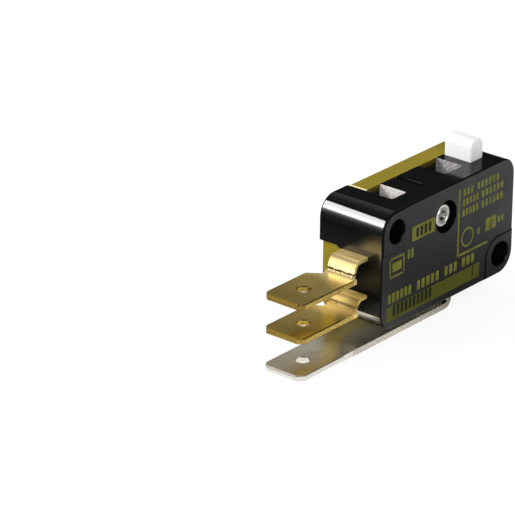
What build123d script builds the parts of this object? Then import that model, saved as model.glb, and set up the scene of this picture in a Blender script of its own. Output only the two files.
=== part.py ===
from build123d import *
import math
import os

# Miniature snap-action switch with three flat blade terminals. Millimetres.
# X runs along the case from the terminal end to the plunger end, Y from the
# printed face of the housing to the cover, Z is the way the plunger stands out.
# The origin is the axis of the round mounting hole, half-way through the case.

# Case
case_length = 27.8
case_height = 15.9
case_thickness = 10.3
hole_to_end = 2.85
hole_to_top = 2.8
top_terminal_radius = 2.7
top_plunger_radius = 2.5
bottom_plunger_radius = 2.8
bottom_terminal_radius = 2.4
edge_round = 0.2
boss_edge_round = 0.3
print_face_step = 0.12

# Mounting holes and the corner bosses around them
hole_radius = 1.55
hole_chamfer = 0.15
slot_to_end = 2.75
slot_to_bottom = 2.8
slot_length = 3.5
upper_boss_width = 5.4
upper_boss_height = 5.75
lower_boss_width = 5.9
lower_boss_height = 5.55
boss_corner_radius = 2.8

# Cover
cover_thickness = 2.75
cover_setback = 0.35
cover_end_setback = 0.35
cover_gap = 0.06
cover_lead_radius = 0.4
cover_foot_radius = 0.3
cover_wall = 1.4
cover_pocket_depth = 1.3
cover_tongue_clearance = 0.03
cover_rivet_boss_radius = 2.8

# Mechanism chamber in the housing
front_wall = 1.7
end_wall = 1.5
floor_wall = 1.3
roof_wall = 3.6
chamber_corner_radius = 0.6
chamber_boss_gap = 0.3
rivet_pillar_radius = 3.0

# Lever recesses in the top face, from the terminal end
recess_near_y = 2.9
recess_depth = 3.0
recess_corner_radius = 0.35
first_recess_start = 5.4
first_recess_width = 3.0
slit_start = 11.3
slit_width = 0.6
second_recess_width = 3.8
second_recess_to_guide = 1.465

# Plunger
plunger_width = 2.65
plunger_depth = 4.3
plunger_near_y = 2.8
plunger_to_end = 4.73
plunger_rise = 2.75
plunger_top_radius = 0.8
plunger_edge_round = 0.25
plunger_play = 0.08
guide_height = 1.6
flange_width = 3.9
flange_height = 1.1
flange_play = 0.05
foot_width = 1.9
foot_nose_radius = 0.9

# Case rivet
rivet_inset_x = 13.2
rivet_to_top = 4.1
rivet_shank_radius = 1.2
rivet_bore_clearance = 0.05
rivet_head_radius = 1.85
rivet_head_height = 0.7
rivet_head_depth = 0.28
rivet_head_bevel = 0.15
rivet_head_recess_radius = 2.1
rivet_dimple_radius = 0.95
rivet_dimple_depth = 0.3
rivet_ring_radius = 1.4
rivet_ring_depth = 0.08
rolled_end_radius = 1.6
rolled_end_height = 1.2
rolled_end_bevel = 0.18
rolled_end_recess_radius = 2.2
rolled_end_recess_depth = 1.9
rolled_end_ring_radius = 1.05
rolled_end_ring_depth = 0.07
rolled_end_dimple_radius = 0.65
rolled_end_dimple_depth = 0.25

# Blade terminals
blade_width = 6.3
blade_thickness = 0.8
blade_reach = 13.9
blade_near_y = 1.8
blade_tip_chamfer_x = 0.9
blade_tip_chamfer_y = 0.8
blade_edge_chamfer = 0.12
blade_tip_bevel = 0.25
blade_hole_radius = 0.87
blade_hole_chamfer = 0.1
blade_hole_from_tip = 4.35
blade_neck_length = 1.25
blade_neck_depth = 0.2

# Thin strips that carry the two fixed contacts
strip_thickness = 0.45
strip_width = 4.2
strip_near_y = 2.4
strip_slot_clearance = 0.03
strip_contact_overhang = 1.3
strip_bend_radius = 0.75
closed_strip_below_boss = 0.3
closed_blade_drop = 1.85
closed_bend_start = 2.25
closed_bend_end = 2.9
open_strip_below_closed = 5.2
open_blade_drop = 1.25
open_bend_start = 1.55
open_bend_end = 2.45
crease_run = 0.35
shelf_near_x = 2.6
shelf_clearance = 0.02

# Common terminal: a flat strip under the case, turned up into it
common_gap = 1.68
leg_to_plunger = 5.97
common_bend_radius = 1.3
common_leg_width = 4.4
common_leg_near_y = 2.6
leg_slot_clearance = 0.05
leg_above_pivot = 1.275
fork_gap = 2.4
fork_below_pivot = 1.625
notch_depth = 0.3
notch_half_height = 0.35

# Snap mechanism
knife_clearance = 0.03
contact_x = 4.0
contact_gap = 0.95
contact_touch_gap = 0.07
fixed_contact_radius = 1.3
fixed_contact_height = 0.9
fixed_contact_crown = 0.12
contact_shank_radius = 0.7
contact_shank_clearance = 0.02
contact_tail_rise = 0.1
contact_tail_pocket = 0.3
moving_contact_radius = 1.1
moving_contact_crown = 0.2
arm_thickness = 0.3
arm_width = 4.3
arm_tip_overhang = 1.35
arm_tip_radius = 1.0
arm_bridge_end = 8.7
arm_hook_x = 7.9
lever_thickness = 0.4
lever_width = 4.3
lever_rest_tilt = 7.5
lever_past_plunger = 1.53
lever_rail_length = 2.85
lever_hook_run = 3.65
hook_hole_radius = 0.4
spring_radius = 0.75
spring_wire_radius = 0.13
spring_turns = 6
spring_tail = 1.35
spring_hook_lift = 0.5
spring_hook_drop = 0.4

# Faces and reference points worked out from the sizes above
case_left = -hole_to_end
case_right = case_left + case_length
case_top = hole_to_top
case_bottom = case_top - case_height
boss_front = -case_thickness / 2
boss_back = case_thickness / 2
print_face = boss_front + print_face_step
cover_face = boss_back - cover_setback
parting = cover_face - cover_thickness
slot_x = case_right - slot_to_end
slot_z = case_bottom + slot_to_bottom
upper_boss_bottom = case_top - upper_boss_height
lower_boss_top = case_bottom + lower_boss_height
lower_boss_left = case_right - lower_boss_width
rivet_x = case_left + rivet_inset_x
rivet_z = case_top - rivet_to_top
chamber_front = boss_front + front_wall
chamber_left = case_left + end_wall
chamber_right = case_right - end_wall
chamber_floor = case_bottom + floor_wall
chamber_top = case_top - roof_wall
guide_floor = case_top - guide_height
plunger_x = case_right - plunger_to_end
guide_left = plunger_x - plunger_width / 2 - plunger_play
plunger_front = boss_front + plunger_near_y
plunger_back = plunger_front + plunger_depth
strip_front = boss_front + strip_near_y
strip_back = strip_front + strip_width
blade_front = boss_front + blade_near_y
blade_back = blade_front + blade_width
blade_tip = case_left - blade_reach
leg_front = boss_front + common_leg_near_y
leg_back = leg_front + common_leg_width
leg_middle = (leg_front + leg_back) / 2
leg_right = plunger_x - leg_to_plunger
leg_left = leg_right - blade_thickness
common_top = case_bottom - common_gap
common_bottom = common_top - blade_thickness
closed_strip_top = upper_boss_bottom - closed_strip_below_boss
closed_blade_top = closed_strip_top - closed_blade_drop
open_strip_top = closed_strip_top - open_strip_below_closed
open_blade_top = open_strip_top - open_blade_drop
pivot_height = (closed_strip_top - strip_thickness + open_strip_top) / 2
arm_pivot_x = leg_left + notch_depth / 2
lever_pivot_x = leg_right - notch_depth / 2
contact_station = case_left + contact_x
arm_reach = arm_pivot_x - contact_station
arm_rest_tilt = math.degrees(math.asin(contact_gap / 2 / arm_reach))
contact_rest_z = pivot_height + contact_gap / 2
closed_face_z = closed_strip_top - strip_thickness - fixed_contact_height
moving_contact_reach = closed_face_z - contact_touch_gap - contact_rest_z
open_face_z = contact_rest_z - contact_gap - moving_contact_reach - contact_touch_gap
open_contact_height = open_face_z - open_strip_top


def outline(corners):
    """Closed side-view outline from (x, z, corner radius) entries."""
    points = [(x, z) for x, z, radius in corners]
    radii = [radius for x, z, radius in corners]
    return make_face(FilletPolyline(*points, radius=radii, close=True))


def slab(face, near, far):
    """A side-view face made solid between two depths along Y."""
    return extrude(Plane.XZ.offset(-far) * face, amount=far - near)


def side_disc(x, z, radius, near, far):
    """A round bar along Y."""
    return slab(Pos(x, z) * Circle(radius), near, far)


def upright_disc(x, y, radius, low, high):
    """A round bar along Z."""
    return Pos(x, y, low) * extrude(Circle(radius), amount=high - low)


def rounded_faces(body, radius, *depths):
    """Rounds every edge that lies in the given faces square to Y."""
    edges = ShapeList()
    for depth in depths:
        edges += body.edges().filter_by_position(Axis.Y, depth - 0.001, depth + 0.001)
    return fillet(edges, radius)


def case_outline():
    return outline([
        (case_left, case_top, top_terminal_radius),
        (case_right, case_top, top_plunger_radius),
        (case_right, case_bottom, bottom_plunger_radius),
        (case_left, case_bottom, bottom_terminal_radius),
    ])


def upper_boss_outline():
    right = case_left + upper_boss_width
    return outline([
        (case_left, case_top, top_terminal_radius),
        (right, case_top, 0),
        (right, upper_boss_bottom, boss_corner_radius),
        (case_left, upper_boss_bottom, 0),
    ])


def lower_boss_outline():
    return outline([
        (case_right, case_bottom, bottom_plunger_radius),
        (case_right, lower_boss_top, 0),
        (lower_boss_left, lower_boss_top, boss_corner_radius),
        (lower_boss_left, case_bottom, 0),
    ])


def chamber():
    """Hollow that holds the contacts and levers, open towards the cover."""
    boss_left = lower_boss_left - chamber_boss_gap
    boss_top = lower_boss_top + chamber_boss_gap
    upper_left = case_left + upper_boss_width + chamber_boss_gap
    upper_bottom = upper_boss_bottom - chamber_boss_gap / 2
    profile = outline([
        (chamber_left, chamber_floor, chamber_corner_radius),
        (boss_left, chamber_floor, chamber_corner_radius),
        (boss_left, boss_top, chamber_corner_radius),
        (chamber_right, boss_top, chamber_corner_radius),
        (chamber_right, chamber_top, chamber_corner_radius),
        (upper_left, chamber_top, chamber_corner_radius),
        (upper_left, upper_bottom, chamber_corner_radius),
        (chamber_left, upper_bottom, 0),
    ])
    hollow = slab(profile, chamber_front, parting)
    return hollow - side_disc(rivet_x, rivet_z, rivet_pillar_radius, chamber_front, parting)


def top_recess(left, width, corner_radius):
    """Blind recess in the top face, open towards the cover."""
    near = boss_front + recess_near_y
    low = case_top - recess_depth
    block = Pos(left + width / 2, (near + parting) / 2, (low + case_top) / 2) * Box(
        width, parting - near, recess_depth)
    corners = block.edges().filter_by(Axis.Z).sort_by(Axis.Y)[:2]
    return fillet(corners, corner_radius)


def plunger_guide():
    """Opening that the plunger slides in, with room for its flange below."""
    neck_half = plunger_width / 2 + plunger_play
    neck_front = plunger_front - plunger_play
    flange_half = flange_width / 2 + plunger_play
    neck = slab(Pos(plunger_x, (guide_floor + case_top) / 2)
                * Rectangle(2 * neck_half, case_top - guide_floor), neck_front, parting)
    room = slab(Pos(plunger_x, (chamber_top + guide_floor) / 2)
                * Rectangle(2 * flange_half, guide_floor - chamber_top + 0.01), neck_front, parting)
    return neck + room


def strip_slot(strip_top):
    """Slot in the end wall for a thin contact strip."""
    clearance = strip_slot_clearance
    high = strip_top + clearance
    low = high - strip_thickness - 2 * clearance
    return slab(Pos((case_left + chamber_left) / 2, (low + high) / 2)
                * Rectangle(end_wall + 0.02, high - low), strip_front - clearance, parting)


def leg_slot():
    """Slot in the case floor for the leg of the common terminal."""
    width = blade_thickness + 2 * leg_slot_clearance
    return slab(Pos((leg_left + leg_right) / 2, (case_bottom + chamber_floor) / 2)
                * Rectangle(width, floor_wall + 0.02), leg_front - leg_slot_clearance, parting)


def strip_shelf():
    """Moulded shelf under the open contact's strip."""
    left = case_left + shelf_near_x
    right = contact_station + strip_contact_overhang
    top = open_strip_top - strip_thickness - shelf_clearance
    shelf = slab(Pos((left + right) / 2, (chamber_floor + top) / 2)
                 * Rectangle(right - left, top - chamber_floor), chamber_front, strip_back)
    return shelf - upright_disc(contact_station, leg_middle, contact_shank_radius + contact_tail_pocket,
                                top - contact_tail_pocket, top)


def mounting_holes():
    """Round hole at the terminal end and short slot at the plunger end."""
    slot = Pos(slot_x, slot_z) * SlotOverall(slot_length, 2 * hole_radius)
    return side_disc(0, 0, hole_radius, boss_front, boss_back) + slab(slot, boss_front, boss_back)


def bevelled_mouths(body):
    """Breaks the edges of both mounting holes on both sides of the case."""
    centres = [Vector(0, 0, 0), Vector(slot_x, 0, slot_z)]
    mouths = ShapeList()
    for face in (boss_front, boss_back):
        for centre in centres:
            middle = Vector(centre.X, face, centre.Z)
            rim = body.edges().filter_by_position(Axis.Y, face - 0.001, face + 0.001)
            reach = slot_length / 2 + hole_chamfer
            mouths += rim.filter_by(lambda edge: (edge.center() - middle).length < reach)
    return chamfer(mouths, hole_chamfer)


def housing():
    """Moulded housing: tray, two corner bosses, guides and recesses."""
    body = rounded_faces(slab(case_outline(), print_face, parting), edge_round, print_face)
    for boss in (upper_boss_outline(), lower_boss_outline()):
        body += rounded_faces(slab(boss, boss_front, boss_back), boss_edge_round, boss_front, boss_back)
    body -= chamber()
    body += strip_shelf()
    second_recess_left = guide_left - second_recess_to_guide - second_recess_width
    body -= top_recess(case_left + first_recess_start, first_recess_width, recess_corner_radius)
    body -= top_recess(case_left + slit_start, slit_width, slit_width / 3)
    body -= top_recess(second_recess_left, second_recess_width, recess_corner_radius)
    body -= plunger_guide()
    body -= strip_slot(closed_strip_top)
    body -= strip_slot(open_strip_top)
    body -= leg_slot()
    body -= side_disc(rivet_x, rivet_z, rivet_shank_radius + rivet_bore_clearance, boss_front, parting)
    recess_floor = boss_front + rolled_end_recess_depth
    body -= side_disc(rivet_x, rivet_z, rolled_end_recess_radius, boss_front, recess_floor)
    return bevelled_mouths(body - mounting_holes())


def cover_outline():
    boss_right = case_left + upper_boss_width + cover_gap
    boss_bottom = upper_boss_bottom - cover_gap
    boss_left = lower_boss_left - cover_gap
    boss_top = lower_boss_top + cover_gap
    corner = boss_corner_radius + cover_gap
    end = case_left + cover_end_setback
    return outline([
        (boss_right, case_top, cover_lead_radius),
        (case_right, case_top, top_plunger_radius),
        (case_right, boss_top, 0),
        (boss_left, boss_top, corner),
        (boss_left, case_bottom, cover_foot_radius),
        (end, case_bottom, bottom_terminal_radius),
        (end, boss_bottom, 0),
        (boss_right, boss_bottom, corner),
    ])


def cover_tongue(strip_top):
    """Tongue of the cover that closes a strip's slot and keeps the strip down."""
    left = case_left + cover_end_setback
    middle = strip_top - strip_thickness / 2
    return slab(Pos((left + chamber_left) / 2, middle)
                * Rectangle(chamber_left - left, strip_thickness - cover_tongue_clearance),
                strip_back + cover_tongue_clearance, parting + cover_wall)


def cover():
    """Moulded cover that fills the case between the two bosses."""
    body = rounded_faces(slab(cover_outline(), parting, cover_face), edge_round, cover_face)
    left = case_left + cover_wall
    right = case_right - cover_wall
    low = case_bottom + cover_wall
    boss_left = lower_boss_left - cover_wall
    boss_top = lower_boss_top + cover_wall
    upper_left = case_left + upper_boss_width + cover_wall
    upper_low = upper_boss_bottom - cover_wall
    pocket_profile = outline([
        (left, low, chamber_corner_radius),
        (boss_left, low, chamber_corner_radius),
        (boss_left, boss_top, chamber_corner_radius),
        (right, boss_top, chamber_corner_radius),
        (right, chamber_top, chamber_corner_radius),
        (upper_left, chamber_top, chamber_corner_radius),
        (upper_left, upper_low, chamber_corner_radius),
        (left, upper_low, chamber_corner_radius),
    ])
    pocket_floor = parting + cover_pocket_depth
    pocket = slab(pocket_profile, parting, pocket_floor)
    pocket -= side_disc(rivet_x, rivet_z, cover_rivet_boss_radius, parting, pocket_floor)
    body -= pocket
    body -= side_disc(rivet_x, rivet_z, rivet_shank_radius + rivet_bore_clearance, parting, cover_face)
    seat = cover_face - rivet_head_depth - rivet_head_height
    body -= side_disc(rivet_x, rivet_z, rivet_head_recess_radius, seat, cover_face)
    return body + cover_tongue(closed_strip_top) + cover_tongue(open_strip_top)


def case_rivet():
    """Rivet that clamps housing and cover: ringed head, rolled far end."""
    head_face = cover_face - rivet_head_depth
    head_seat = head_face - rivet_head_height
    rolled_seat = boss_front + rolled_end_recess_depth
    rolled_face = rolled_seat - rolled_end_height
    rolled_floor = rolled_face + rolled_end_dimple_depth
    head_floor = head_face - rivet_dimple_depth
    profile = Polyline(
        (0, rolled_floor), (rolled_end_dimple_radius / 2, rolled_floor),
        (rolled_end_dimple_radius, rolled_face),
        (rolled_end_ring_radius - rolled_end_ring_depth, rolled_face),
        (rolled_end_ring_radius, rolled_face + rolled_end_ring_depth),
        (rolled_end_ring_radius + rolled_end_ring_depth, rolled_face),
        (rolled_end_radius - rolled_end_bevel, rolled_face),
        (rolled_end_radius, rolled_face + rolled_end_bevel), (rolled_end_radius, rolled_seat),
        (rivet_shank_radius, rolled_seat), (rivet_shank_radius, head_seat),
        (rivet_head_radius, head_seat), (rivet_head_radius, head_face - rivet_head_bevel),
        (rivet_head_radius - rivet_head_bevel, head_face),
        (rivet_ring_radius + rivet_ring_depth, head_face),
        (rivet_ring_radius, head_face - rivet_ring_depth),
        (rivet_ring_radius - rivet_ring_depth, head_face), (rivet_dimple_radius, head_face),
        (rivet_dimple_radius / 2, head_floor), (0, head_floor),
        close=True)
    return Pos(rivet_x, 0, rivet_z) * revolve(make_face(profile), Axis.Y)


def plunger():
    """Nylon push pin: rounded top, retaining flange and rounded foot."""
    top = case_top + plunger_rise
    half = plunger_width / 2
    flange_half = flange_width / 2
    flange_top = guide_floor - flange_play
    flange_bottom = flange_top - flange_height
    foot_half = foot_width / 2
    foot_bottom = nose_height()
    block = slab(outline([
        (plunger_x - half, top, plunger_top_radius),
        (plunger_x + half, top, plunger_top_radius),
        (plunger_x + half, flange_bottom, 0),
        (plunger_x - half, flange_bottom, 0),
    ]), plunger_front, plunger_back)
    block = rounded_faces(block, plunger_edge_round, plunger_front, plunger_back)
    flange = slab(outline([
        (plunger_x - flange_half, flange_top, 0),
        (plunger_x + flange_half, flange_top, 0),
        (plunger_x + flange_half, flange_bottom, plunger_edge_round),
        (plunger_x - flange_half, flange_bottom, plunger_edge_round),
    ]), plunger_front, plunger_back)
    foot = slab(outline([
        (plunger_x - foot_half, flange_bottom, 0),
        (plunger_x + foot_half, flange_bottom, 0),
        (plunger_x + foot_half, foot_bottom, foot_nose_radius),
        (plunger_x - foot_half, foot_bottom, foot_nose_radius),
    ]), plunger_front, plunger_back)
    return block + flange + foot


def nose_height():
    """Underside of the plunger's foot, just clear of the tilted lever."""
    tilt = math.radians(lever_rest_tilt)
    run = plunger_x - lever_pivot_x
    lever_top = pivot_height + run * math.tan(tilt) + lever_thickness / 2 / math.cos(tilt)
    return lever_top + plunger_play


def folded_strip(route, thickness, radii):
    """Side-view face of a bent strip, from the route of its upper face."""
    offsets = []
    for index, (x, z) in enumerate(route):
        before = route[max(index - 1, 0)]
        after = route[min(index + 1, len(route) - 1)]
        incoming = math.atan2(z - before[1], x - before[0]) if index > 0 else None
        outgoing = math.atan2(after[1] - z, after[0] - x) if index < len(route) - 1 else incoming
        incoming = outgoing if incoming is None else incoming
        middle = (incoming + outgoing) / 2
        reach = thickness / math.cos((outgoing - incoming) / 2)
        offsets.append((x + reach * math.sin(middle), z - reach * math.cos(middle)))
    turns = []
    for index in range(1, len(route) - 1):
        incoming = math.atan2(route[index][1] - route[index - 1][1], route[index][0] - route[index - 1][0])
        outgoing = math.atan2(route[index + 1][1] - route[index][1], route[index + 1][0] - route[index][0])
        turns.append(outgoing - incoming)
    upper = [radius if turn > 0 else radius + thickness for radius, turn in zip(radii, turns)]
    lower = [radius + thickness if turn > 0 else radius for radius, turn in zip(radii, turns)]
    corners = [(route[0][0], route[0][1], 0)]
    corners += [(x, z, radius) for (x, z), radius in zip(route[1:-1], upper)]
    corners += [(route[-1][0], route[-1][1], 0), (offsets[-1][0], offsets[-1][1], 0)]
    corners += [(x, z, radius) for (x, z), radius in zip(offsets[-2:0:-1], lower[::-1])]
    corners += [(offsets[0][0], offsets[0][1], 0)]
    return outline(corners)


def blade(root_x, top_z, necked):
    """Flat push-on blade with trimmed tip, bevelled edges and locking hole."""
    neck_end = root_x - blade_neck_length
    corners = [
        (blade_tip, blade_front + blade_tip_chamfer_y),
        (blade_tip + blade_tip_chamfer_x, blade_front),
        (root_x, blade_front),
    ]
    if necked:
        corners += [(root_x, strip_back), (neck_end, strip_back - blade_neck_depth)]
        corners += [(neck_end - blade_neck_length, blade_back)]
    else:
        corners += [(root_x, blade_back)]
    corners += [
        (blade_tip + blade_tip_chamfer_x, blade_back),
        (blade_tip, blade_back - blade_tip_chamfer_y),
    ]
    plan = make_face(Polyline(*corners, close=True))
    low_z = top_z - blade_thickness
    plate = Pos(0, 0, low_z) * extrude(plan, amount=blade_thickness)
    long_edges = plate.edges().filter_by(Plane.XY).filter_by(lambda edge: edge.center().X < root_x - 0.01)
    plate = chamfer(long_edges, blade_edge_chamfer)
    side = make_face(Polyline(
        (blade_tip, low_z + blade_tip_bevel), (blade_tip + blade_tip_bevel, low_z),
        (root_x, low_z), (root_x, top_z),
        (blade_tip + blade_tip_bevel, top_z), (blade_tip, top_z - blade_tip_bevel), close=True))
    plate = plate & slab(side, blade_front, blade_back)
    hole_x = blade_tip + blade_hole_from_tip
    hole_y = (blade_front + blade_back) / 2
    plate -= upright_disc(hole_x, hole_y, blade_hole_radius, low_z, top_z)
    return chamfer(plate.edges().filter_by(GeomType.CIRCLE), blade_hole_chamfer)


def fixed_terminal(strip_top, blade_top, bend_start, bend_end):
    """Brass terminal: thin strip in the case, joggled down to a doubled blade."""
    root_x = case_left - bend_end
    route = [
        (contact_station + strip_contact_overhang, strip_top),
        (case_left - bend_start, strip_top),
        (root_x, blade_top),
        (root_x - crease_run, blade_top),
    ]
    profile = folded_strip(route[::-1], strip_thickness, [strip_bend_radius / 3, strip_bend_radius])
    strip = slab(profile, strip_front, strip_back)
    strip -= upright_disc(contact_station, leg_middle,
                          contact_shank_radius + contact_shank_clearance,
                          strip_top - strip_thickness, strip_top)
    return strip + blade(root_x, blade_top, True)


def common_terminal():
    """Flat strip under the case whose inner end turns up into a forked leg."""
    leg_top = pivot_height + leg_above_pivot
    fork_floor = pivot_height - fork_below_pivot
    shoulder = case_bottom
    profile = outline([
        (blade_tip + blade_tip_chamfer_x, common_top, 0),
        (leg_left, common_top, common_bend_radius - blade_thickness),
        (leg_left, shoulder, 0),
        (leg_right, shoulder, 0),
        (leg_right, common_bottom, common_bend_radius),
        (blade_tip + blade_tip_chamfer_x, common_bottom, 0),
    ])
    strip = slab(profile, blade_front, blade_back)
    tip = blade(blade_tip + blade_hole_from_tip * 2, common_top, False)
    strip = (strip - slab(Pos(blade_tip + blade_hole_from_tip, (common_top + common_bottom) / 2)
                          * Rectangle(2 * blade_hole_from_tip, 2 * blade_thickness),
                          blade_front, blade_back)) + tip
    leg = slab(Pos((leg_left + leg_right) / 2, (shoulder + leg_top) / 2)
               * Rectangle(blade_thickness, leg_top - shoulder), leg_front, leg_back)
    leg -= slab(Pos((leg_left + leg_right) / 2, (fork_floor + leg_top) / 2)
                * Rectangle(2 * blade_thickness, leg_top - fork_floor),
                leg_middle - fork_gap / 2, leg_middle + fork_gap / 2)
    for face_x, inwards in ((leg_left, notch_depth), (leg_right, -notch_depth)):
        notch = make_face(Polyline((face_x, pivot_height - notch_half_height),
                                   (face_x, pivot_height + notch_half_height),
                                   (face_x + inwards, pivot_height), close=True))
        leg -= slab(notch, leg_front, leg_back)
    return strip + leg


def fixed_contact(seat_z, head_height, downwards):
    """Silver contact riveted into a fixed strip; its crowned head faces the arm."""
    face_radius = fixed_contact_radius - fixed_contact_crown
    shank = contact_shank_radius
    tail = strip_thickness + contact_tail_rise
    profile = Polyline(
        (0, -head_height), (face_radius, -head_height),
        (fixed_contact_radius, -head_height + fixed_contact_crown), (fixed_contact_radius, 0),
        (shank, 0), (shank, strip_thickness), (shank + contact_tail_rise / 2, tail), (0, tail),
        close=True)
    turned = revolve(Plane.XZ * make_face(profile), Axis.Z)
    if not downwards:
        turned = Rot(180, 0, 0) * turned
    return Pos(contact_station, leg_middle, seat_z) * turned


def tilted(part, pivot_x, degrees):
    """Turns a part, drawn level, about a knife edge; positive lifts its +X side."""
    return Pos(pivot_x, 0, pivot_height) * Rot(0, -degrees, 0) * Pos(-pivot_x, 0, -pivot_height) * part


def railed_plate(near_x, far_x, width, thickness, knife_side, bridge_x):
    """Level plate with a knife edge at one end and two rails beside the spring."""
    low = pivot_height - thickness / 2
    high = pivot_height + thickness / 2
    knife = thickness * 0.35
    end_x = far_x if knife_side > 0 else near_x
    other_x = near_x if knife_side > 0 else far_x
    side = make_face(Polyline(
        (end_x, low + knife), (end_x - knife_side * knife, low), (other_x, low),
        (other_x, high), (end_x - knife_side * knife, high), (end_x, high - knife), close=True))
    plate = slab(side, leg_middle - width / 2, leg_middle + width / 2)
    gap = Pos((bridge_x + end_x) / 2, leg_middle, pivot_height) * Box(
        abs(end_x - bridge_x), fork_gap, 2 * thickness)
    return plate - gap


def contact_arm():
    """Springy bronze arm: knife-edged rails at the leg, contact at its tip."""
    tip = contact_station - arm_tip_overhang
    end = arm_pivot_x - knife_clearance
    plate = railed_plate(tip, end, arm_width, arm_thickness, 1, case_left + arm_bridge_end)
    plate = fillet(plate.edges().filter_by(Axis.Z).sort_by(Axis.X)[:2], arm_tip_radius)
    low = pivot_height - arm_thickness / 2
    high = pivot_height + arm_thickness / 2
    shank_hole = contact_shank_radius + contact_shank_clearance
    plate -= upright_disc(contact_station, leg_middle, shank_hole, low, high)
    plate -= upright_disc(case_left + arm_hook_x, leg_middle, hook_hole_radius, low, high)
    return tilted(plate, arm_pivot_x, -arm_rest_tilt)


def moving_contact():
    """Double-faced silver rivet at the tip of the arm."""
    reach = moving_contact_reach
    face_radius = moving_contact_radius - moving_contact_crown
    seat = arm_thickness / 2
    profile = Polyline(
        (0, -reach), (face_radius, -reach), (moving_contact_radius, -reach + moving_contact_crown),
        (moving_contact_radius, -seat), (contact_shank_radius, -seat), (contact_shank_radius, seat),
        (moving_contact_radius, seat), (moving_contact_radius, reach - moving_contact_crown),
        (face_radius, reach), (0, reach), close=True)
    turned = revolve(Plane.XZ * make_face(profile), Axis.Z)
    return tilted(Pos(contact_station, leg_middle, pivot_height) * turned, arm_pivot_x, -arm_rest_tilt)


def actuating_lever():
    """Stiff lever under the plunger; its rails rock on the far side of the leg."""
    start = lever_pivot_x + knife_clearance
    end = plunger_x + lever_past_plunger
    plate = railed_plate(start, end, lever_width, lever_thickness, -1, lever_pivot_x + lever_rail_length)
    plate = fillet(plate.edges().filter_by(Axis.Z).sort_by(Axis.X)[-2:], edge_round * 2)
    low = pivot_height - lever_thickness / 2
    high = pivot_height + lever_thickness / 2
    plate -= upright_disc(lever_pivot_x + lever_hook_run, leg_middle, hook_hole_radius, low, high)
    return tilted(plate, lever_pivot_x, lever_rest_tilt)


def tension_spring():
    """Tension coil drawn between the arm's hook hole and the lever's."""
    arm_tilt = math.radians(arm_rest_tilt)
    lever_tilt = math.radians(lever_rest_tilt)
    start_x = case_left + arm_hook_x
    end_x = lever_pivot_x + lever_hook_run
    start_z = pivot_height + (arm_pivot_x - start_x) * math.tan(arm_tilt)
    end_z = pivot_height + (end_x - lever_pivot_x) * math.tan(lever_tilt)
    length = math.hypot(end_x - start_x, end_z - start_z)
    slope = math.degrees(math.atan2(end_z - start_z, end_x - start_x))
    coil_length = length - 2 * spring_tail
    pitch = coil_length / spring_turns
    path = Helix(pitch, coil_length, spring_radius)
    section = Plane(path @ 0, z_dir=path % 0) * RegularPolygon(spring_wire_radius, 4)
    coil = Pos(spring_tail, 0, 0) * Rot(0, 90, 0) * sweep(section, path=path, is_frenet=True)
    laid = coil + spring_hook() + Pos(length, 0, 0) * mirror(spring_hook(), about=Plane.YZ)
    return Pos(start_x, leg_middle, start_z) * Rot(0, -slope, 0) * laid


def spring_hook():
    """End of the spring wire, from the coil up over the plate and down its hole."""
    rise = spring_tail - 2 * spring_wire_radius
    bend = 1.5 * spring_wire_radius
    route = Plane.XZ * FilletPolyline(
        (spring_tail, -spring_radius), (rise, spring_hook_lift), (0, spring_hook_lift),
        (0, -spring_hook_drop), radius=bend)
    section = Plane(route @ 0, z_dir=route % 0) * RegularPolygon(spring_wire_radius, 4)
    return sweep(section, path=route)


nodes = {
    "housing": housing(),
    "cover": cover(),
    "case_rivet": case_rivet(),
    "plunger": plunger(),
    "closed_terminal": fixed_terminal(closed_strip_top, closed_blade_top,
                                      closed_bend_start, closed_bend_end),
    "open_terminal": fixed_terminal(open_strip_top, open_blade_top, open_bend_start, open_bend_end),
    "common_terminal": common_terminal(),
    "closed_contact": fixed_contact(closed_strip_top - strip_thickness, fixed_contact_height, True),
    "open_contact": fixed_contact(open_strip_top, open_contact_height, False),
    "contact_arm": contact_arm(),
    "moving_contact": moving_contact(),
    "actuating_lever": actuating_lever(),
    "tension_spring": tension_spring(),
}

os.makedirs("parts", exist_ok=True)
for name, solid in nodes.items():
    export_step(solid, "parts/" + name + ".step")
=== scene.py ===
import math

import bmesh
import bpy
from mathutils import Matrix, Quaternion, Vector


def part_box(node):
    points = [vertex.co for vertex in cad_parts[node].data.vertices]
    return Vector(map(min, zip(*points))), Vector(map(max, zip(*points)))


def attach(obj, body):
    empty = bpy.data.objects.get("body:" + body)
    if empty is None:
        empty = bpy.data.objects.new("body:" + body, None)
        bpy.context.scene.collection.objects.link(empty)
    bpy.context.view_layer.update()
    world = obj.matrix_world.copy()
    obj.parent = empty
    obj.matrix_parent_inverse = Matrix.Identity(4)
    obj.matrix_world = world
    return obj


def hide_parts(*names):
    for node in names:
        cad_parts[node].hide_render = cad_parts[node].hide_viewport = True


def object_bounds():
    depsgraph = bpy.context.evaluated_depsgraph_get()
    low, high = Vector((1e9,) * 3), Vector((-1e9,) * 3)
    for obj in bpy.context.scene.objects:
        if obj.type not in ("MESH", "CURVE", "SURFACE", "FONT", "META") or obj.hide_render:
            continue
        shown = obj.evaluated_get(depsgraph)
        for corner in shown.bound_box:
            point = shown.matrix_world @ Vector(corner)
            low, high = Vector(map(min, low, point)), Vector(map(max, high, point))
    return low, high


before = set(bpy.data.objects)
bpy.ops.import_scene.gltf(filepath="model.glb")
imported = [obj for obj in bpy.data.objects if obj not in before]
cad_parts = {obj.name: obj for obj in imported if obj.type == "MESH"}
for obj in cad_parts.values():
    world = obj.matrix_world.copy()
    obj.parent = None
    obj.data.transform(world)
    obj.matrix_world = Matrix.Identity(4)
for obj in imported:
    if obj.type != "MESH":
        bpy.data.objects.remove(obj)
cad_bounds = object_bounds()

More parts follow.
